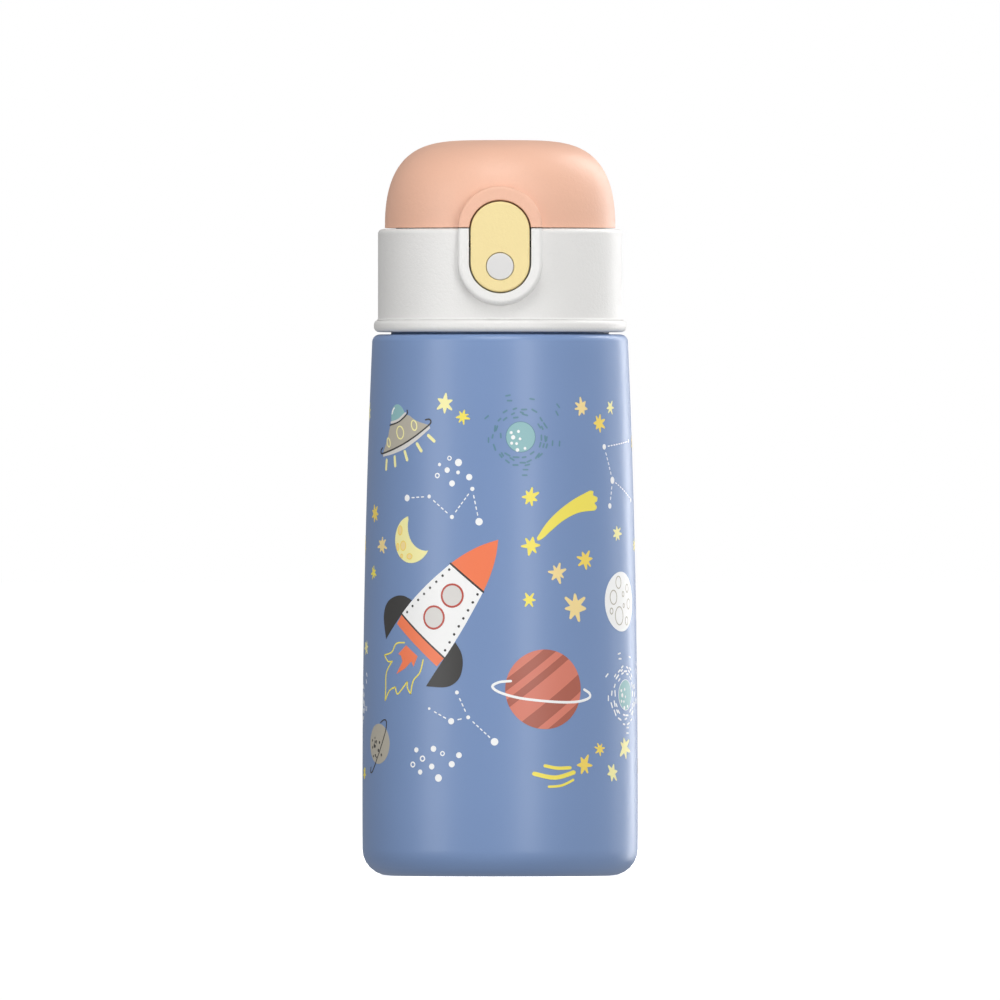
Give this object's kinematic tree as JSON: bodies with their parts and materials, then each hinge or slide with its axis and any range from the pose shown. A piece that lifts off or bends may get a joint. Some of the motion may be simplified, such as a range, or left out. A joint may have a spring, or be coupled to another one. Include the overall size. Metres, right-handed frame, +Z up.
{
  "type": "water bottle",
  "caption": "Insulated steel water bottle for children: a blue tapered body, a white screw collar, a peach flip lid with a yellow rocker button, and a folding straw spout.",
  "frame": {"origin": "centre of the standing face", "axes": "+Z up along the bottle, the button faces -Y, the hinge is at +Y"},
  "size_m": [0.07, 0.07, 0.187],
  "materials": {
    "blue_paint": "satin powder coat with a printed space pattern",
    "bare_steel": "spun and electropolished inside",
    "base_steel": "spun",
    "getter_alloy": "matte",
    "clear_straw": "clear, smooth",
    "white_silicone": "moulded silicone",
    "clear_silicone": "moulded soft silicone",
    "white_abs": "fine satin grain",
    "milky_pp": "smooth natural polypropylene",
    "inner_lid_abs": "smooth",
    "peach_abs": "fine satin grain",
    "yellow_abs": "fine satin grain",
    "dot_abs": "fine satin grain",
    "pin_steel": "drawn wire",
    "spring_steel": "drawn spring wire"
  },
  "bodies": {
    "vessel": {"outer_shell": "blue_paint", "inner_liner": "bare_steel", "vacuum_base": "bare_steel", "base_cover": "base_steel", "getter": "getter_alloy", "seal_bead": "getter_alloy"},
    "straw": {"drinking_straw": "clear_straw"},
    "gasket": {"lid_gasket": "white_silicone"},
    "cap": {"collar": "white_abs", "cap_core": "milky_pp", "vent_valve": "white_silicone", "spout_base": "clear_silicone", "hinge_pin": "pin_steel", "lid_spring": "spring_steel", "latch_pin": "pin_steel", "latch_spring": "spring_steel"},
    "lid": {"lid_shell": "peach_abs", "lid_liner": "inner_lid_abs"},
    "spout": {"spout_tip": "clear_silicone"},
    "button": {"push_button": "yellow_abs", "button_dot": "dot_abs"}
  },
  "joints": [
    {"name": "cap_off", "type": "slide", "parent": "vessel", "child": "straw", "axis": [0, 0, 1], "range_m": [0, 0.165]},
    {"name": "cap_lift", "type": "slide", "parent": "straw", "child": "gasket", "axis": [0, 0, 1], "range_m": [0, 0.005]},
    {"name": "cap_turn", "type": "hinge", "parent": "gasket", "child": "cap", "pos_m": [0, 0, 0.1501], "axis": [0, 0, 1], "range_deg": [0, 450]},
    {"name": "lid_hinge", "type": "hinge", "parent": "cap", "child": "lid", "pos_m": [0, 0.03205, 0.1628], "axis": [-1, 0, 0], "range_deg": [0, 115], "deforming": ["lid_spring"]},
    {"name": "spout_unfold", "type": "hinge", "parent": "cap", "child": "spout", "pos_m": [0, 0, 0.157], "axis": [-1, 0, 0], "range_deg": [0, 50]},
    {"name": "button_press", "type": "hinge", "parent": "cap", "child": "button", "pos_m": [0, -0.02805, 0.16049], "axis": [1, 0, 0], "range_deg": [0, 5.5], "stiffness_Nm_per_rad": 0.15, "springref_deg": -3.44, "deforming": ["latch_spring"]}
  ],
  "couplings": [
    {"joint": "cap_lift", "follows": "cap_turn", "m_per_rad": 0.00063662},
    {"joint": "spout_unfold", "follows": "lid_hinge", "ratio": 0.43478}
  ]
}
